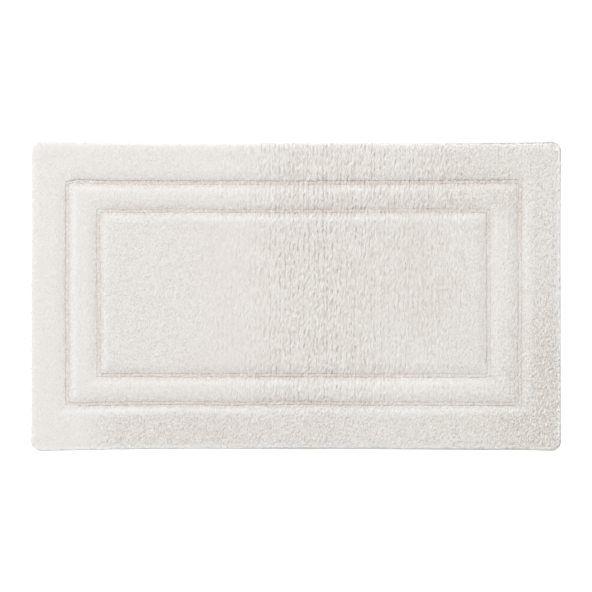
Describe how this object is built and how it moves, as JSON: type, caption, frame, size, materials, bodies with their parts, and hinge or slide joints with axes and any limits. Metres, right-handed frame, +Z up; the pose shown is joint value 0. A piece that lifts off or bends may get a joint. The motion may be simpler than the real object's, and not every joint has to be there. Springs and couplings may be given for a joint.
{
  "type": "bath mat",
  "caption": "Rectangular tufted cotton bath mat, cut pile with two sunken rectangular grooves, hemmed edge and non-slip underside.",
  "frame": {"origin": "on the floor, below the middle of the mat's rectangle", "axes": "+X along the mat's length, +Y across its width, +Z up from the floor through the pile"},
  "size_m": [0.864, 0.508, 0.015],
  "materials": {
    "cut_pile": "soft matt ivory cotton cut pile",
    "low_pile": "matt low cotton pile, a little warmer",
    "backing_cloth": "plain woven natural cotton",
    "latex_coat": "matt cream sprayed latex",
    "hem_cloth": "plain woven ivory cotton",
    "sewing_thread": "slightly lustrous spun thread",
    "label_satin": "smooth white satin, blank"
  },
  "bodies": {
    "root": {"border_pile": "cut_pile", "middle_band_pile": "cut_pile", "centre_pile": "cut_pile", "outer_groove_pile": "low_pile", "inner_groove_pile": "low_pile", "backing_cloth": "backing_cloth", "latex_coat": "latex_coat", "back_hem": "hem_cloth", "left_hem": "hem_cloth", "front_hem": "hem_cloth", "right_hem": "hem_cloth", "back_hem_sewing": "sewing_thread", "left_hem_sewing": "sewing_thread", "front_hem_sewing": "sewing_thread", "right_hem_sewing": "sewing_thread", "care_label": "label_satin"}
  },
  "joints": []
}
